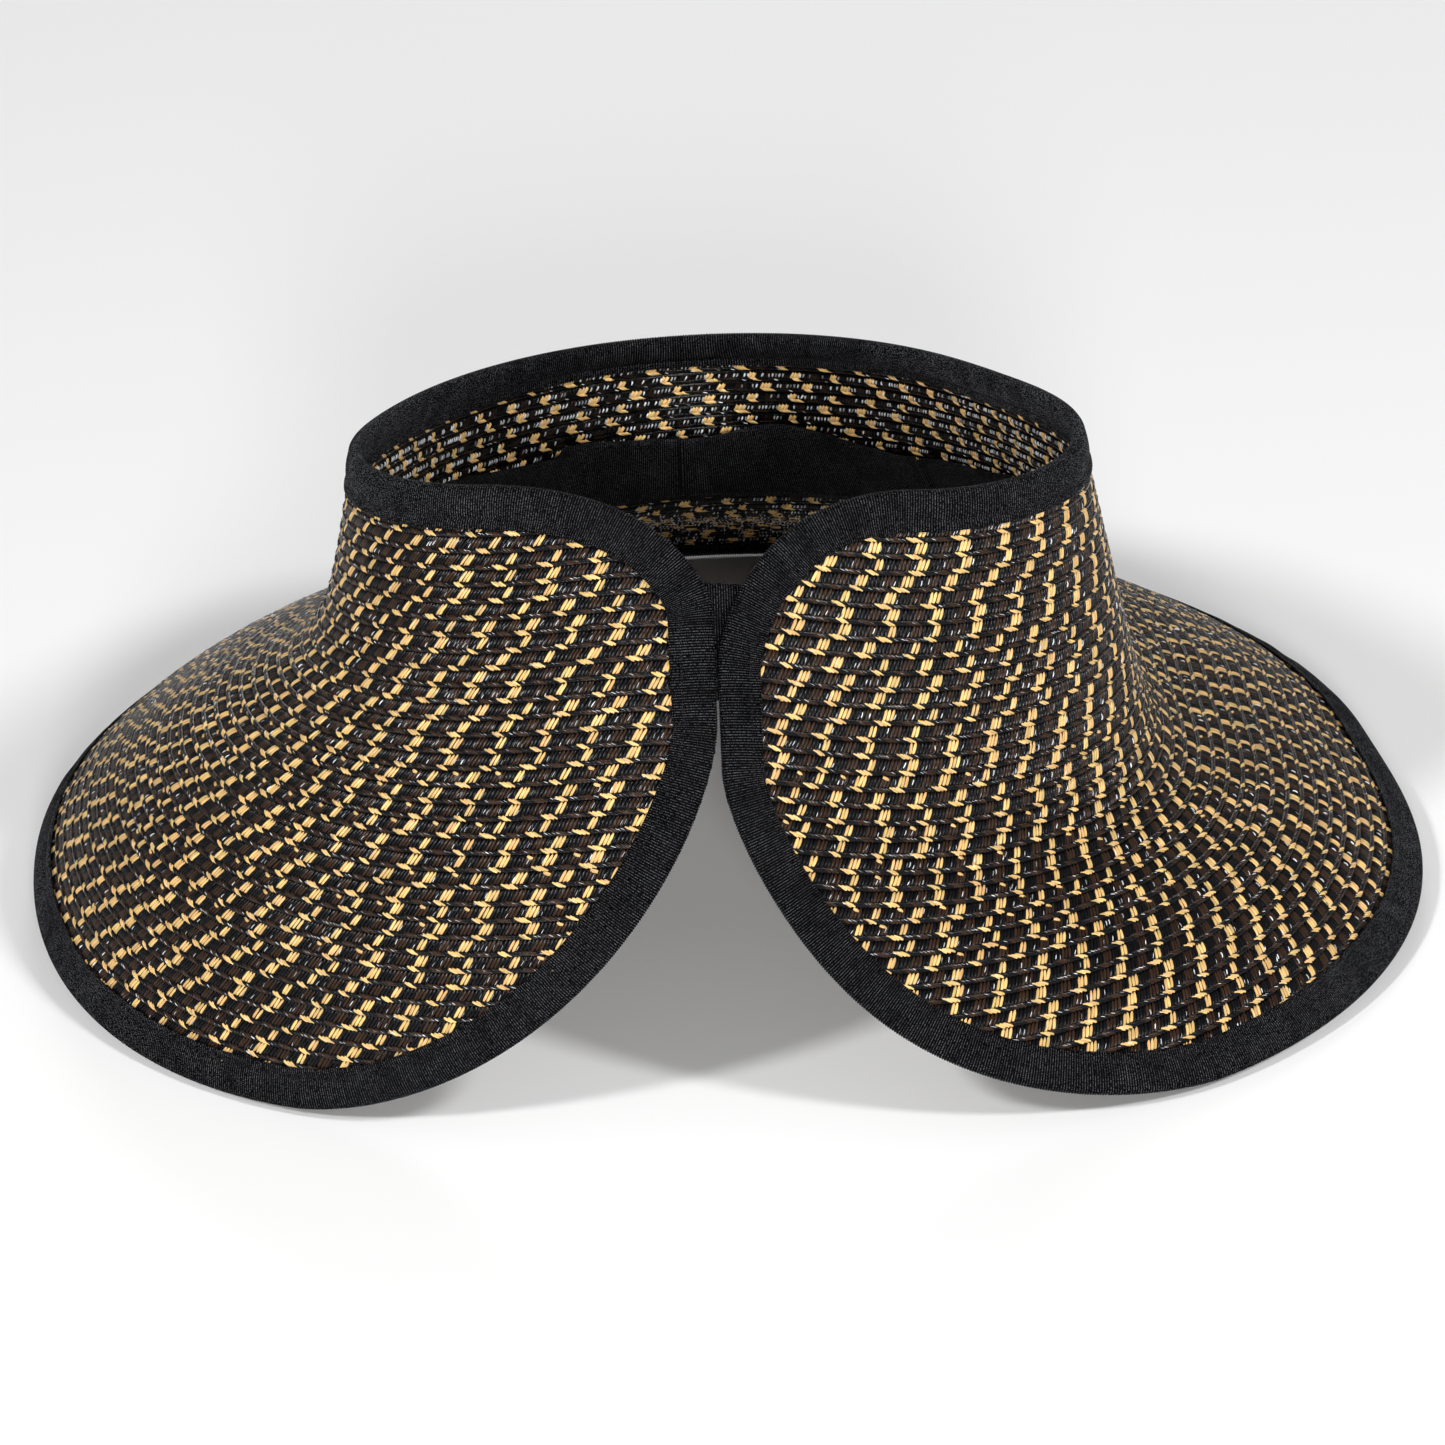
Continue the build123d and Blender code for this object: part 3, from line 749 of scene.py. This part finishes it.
band_at = np.broadcast_to(band_theta[:, None], lift.shape)
band_s = band_foot[:, None] - band_height[:, None] * up
band_mid = look_up(SHEET, band_at, band_s) + look_up(NORMAL, band_at, band_s) * lift[..., None]
band_normal = np.cross(np.gradient(band_mid, axis=1), np.gradient(band_mid, axis=0))
band_normal /= np.linalg.norm(band_normal, axis=2, keepdims=True)
if (band_normal * look_up(NORMAL, band_at, band_s)).sum() > 0:
    band_normal = -band_normal
piece = woven("sweatband_ribbon", band_mid, band_normal, band_run[:, None], up * BAND_WIDTH,
              0.6, rib=0.06)
add_piece(piece, BODY, "black_ribbon", "sweatband")

at = np.arange(3, len(band_run) - 3, int(BAND_STITCH_PITCH / STATION))
theta, s = band_theta[at], band_foot[at] - 2
sunk = (lift[at, 1] - BAND_STITCH_SINK)[:, None]
places = look_up(SHEET, theta, s) + look_up(NORMAL, theta, s) * sunk
runs = on_sheet(theta + 0.01, s, -2.7) - on_sheet(theta - 0.01, s, -2.7)
runs /= np.linalg.norm(runs, axis=1, keepdims=True)
piece = stitches("sweatband_stitches", places, runs, -look_up(NORMAL, theta, s))
add_piece(piece, BODY, "thread", "sweatband_stitching")

# ---------------------------------------------------------------- closure strap
STRAP_TOP = 25.0
STRAP_WIDTH = 28.0
# Start and end in mm from the line where the back ends meet, + towards the right end, and
# the level in mm inside the straw's middle surface
ANCHOR_SPAN, ANCHOR_LEVEL = (-32.0, -10.6), 2.6
FLAP_SPAN, FLAP_LEVEL = (-9.4, 43.0), 3.2
HOOK_SPAN, HOOK_LEVEL = (20.0, 40.0), 2.45
LOOP_SPAN, LOOP_LEVEL = (18.0, 42.0), 1.3
PATCH_MARGIN = 3.0
BOX_MARGIN, BOX_LEVEL, BOX_PITCH = 3.0, 3.65, 2.9
strap_radius = float(look_up(STRETCH, np.array([math.pi]), np.array([STRAP_TOP + STRAP_WIDTH / 2]))[0])


def strap_grid(start, end, margin, level, columns=15):
    """Middle points, normals and lengths of a strip inside the back."""
    run = np.arange(start, end, STATION)
    theta = math.pi - run / strap_radius
    depth = np.linspace(STRAP_TOP + margin, STRAP_TOP + STRAP_WIDTH - margin, columns)
    theta, s = np.broadcast_arrays(theta[:, None], depth[None])
    inward = -look_up(NORMAL, theta, s)
    return on_sheet(theta, s, -level), inward, run[:, None], (depth - depth[0])[None]


def strap_ribbon(name, body, node, span, level, thick):
    middle, normal, run, across = strap_grid(*span, 0.0, level)
    piece = woven(name, middle, normal, run, across, thick, RIBBON, rib=0.07)
    return add_piece(piece, body, "black_ribbon", node)


def strap_patch(name, body, node, span, level, thick):
    middle, normal, run, across = strap_grid(*span, PATCH_MARGIN, level)
    piece = woven(name, middle, normal, run, across, thick, PATCH, rib=0.05)
    return add_piece(piece, body, "hook_and_loop", node)


anchor = strap_ribbon("strap_anchor_ribbon", BODY, "strap_anchor", ANCHOR_SPAN, ANCHOR_LEVEL, 1.9)
flap = strap_ribbon("strap_flap_ribbon", FLAP, "strap_flap", FLAP_SPAN, FLAP_LEVEL, 0.75)
hook = strap_patch("hook_patch_pad", FLAP, "hook_patch", HOOK_SPAN, HOOK_LEVEL, 0.5)
loops = strap_patch("loop_patch_pad", BODY, "loop_patch", LOOP_SPAN, LOOP_LEVEL, 0.7)


def box_stitch(name, span, margin, level):
    """Stitches round a rectangle, margin mm in from the edges of the strap over span."""
    start, end = span[0] + margin, span[1] - margin
    low, high = margin, STRAP_WIDTH - margin
    corners = [(start, low), (end, low), (end, high), (start, high), (start, low)]
    spots = []
    for (x0, d0), (x1, d1) in zip(corners, corners[1:]):
        count = int(math.hypot(x1 - x0, d1 - d0) / BOX_PITCH)
        for i in range(count):
            f = (i + 0.5) / count
            spots.append((x0 + (x1 - x0) * f, d0 + (d1 - d0) * f, x1 - x0, d1 - d0))
    spots = np.array(spots)
    theta = math.pi - spots[:, 0] / strap_radius
    s = STRAP_TOP + spots[:, 1]
    aim = spots[:, 2:] / np.hypot(spots[:, 2], spots[:, 3])[:, None]
    places = on_sheet(theta, s, -level)
    ahead = on_sheet(theta - aim[:, 0] / strap_radius * 0.5, s + aim[:, 1] * 0.5, -level)
    runs = ahead - places
    runs /= np.linalg.norm(runs, axis=1, keepdims=True)
    return stitches(name, places, runs, -look_up(NORMAL, theta, s), length=2.1)


piece = box_stitch("strap_anchor_stitches", ANCHOR_SPAN, BOX_MARGIN, BOX_LEVEL)
add_piece(piece, BODY, "thread", "strap_stitching")


# ---------------------------------------------------------------- stage, light, camera
def stage_floor():
    mesh = bpy.data.meshes.new("floor")
    mesh.from_pydata([(-6, -6, 0), (6, -6, 0), (6, 6, 0), (-6, 6, 0)], [], [(0, 1, 2, 3)])
    floor = bpy.data.objects.new("floor", mesh)
    bpy.context.collection.objects.link(floor)
    material, nodes, links = new_material("floor")
    shader = nodes["Principled BSDF"]
    shader.inputs["Base Color"].default_value = (0.86, 0.86, 0.86, 1)
    shader.inputs["Roughness"].default_value = 0.9
    shader.inputs["Specular IOR Level"].default_value = 0.1
    mesh.materials.append(material)


# name, place, diameter (m), power (W)
LIGHTS = (
    ("front", (0.1, -2.7, 0.85), 0.45, 52),
    ("left", (-1.7, -1.8, 2.2), 0.45, 54),
    ("right", (1.8, -1.7, 2.2), 0.45, 54),
    ("far_side", (0.2, 2.6, 1.6), 1.0, 18),
)
LIT_POINT = (0, 0, 0.07)


def area_light(name, place, size, power):
    light = bpy.data.lights.new(name, "AREA")
    light.shape = "DISK"
    light.size = size
    light.energy = power
    obj = bpy.data.objects.new(name, light)
    obj.location = place
    obj.rotation_euler = (Vector(LIT_POINT) - Vector(place)).to_track_quat("-Z", "Y").to_euler()
    bpy.context.collection.objects.link(obj)


stage_floor()
for light_values in LIGHTS:
    area_light(*light_values)
world = bpy.data.worlds.new("studio")
world.use_nodes = True
world.node_tree.nodes["Background"].inputs["Color"].default_value = (1, 1, 1, 1)
world.node_tree.nodes["Background"].inputs["Strength"].default_value = 0.20
bpy.context.scene.world = world
bpy.context.scene.view_settings.view_transform = "Standard"

# camera: lens and sensor in mm, target in mm, distance in metres
SENSOR, LENS = 36.0, 190.6
CAMERA_SHIFT = (-0.001751, 0.008976)
CAMERA_TARGET = (2.1, -56.1, 52.45)
CAMERA_DISTANCE = 1.8841
ELEVATION, SWING, ROLL = math.radians(25.48), math.radians(0.424), math.radians(-3.168)

camera = bpy.data.cameras.new("camera")
camera.sensor_width = SENSOR
camera.lens = LENS
camera.shift_x, camera.shift_y = CAMERA_SHIFT
camera.clip_start, camera.clip_end = 0.1, 20
camera_object = bpy.data.objects.new("camera", camera)
bpy.context.collection.objects.link(camera_object)
flat = math.cos(ELEVATION)
back = Vector((math.sin(SWING) * flat, -math.cos(SWING) * flat, math.sin(ELEVATION)))
camera_object.location = Vector(CAMERA_TARGET) * MM + back * CAMERA_DISTANCE
aim = (-back).to_track_quat("-Z", "Y").to_matrix() @ Matrix.Rotation(ROLL, 3, "Z")
camera_object.rotation_euler = aim.to_euler()
bpy.context.scene.camera = camera_object
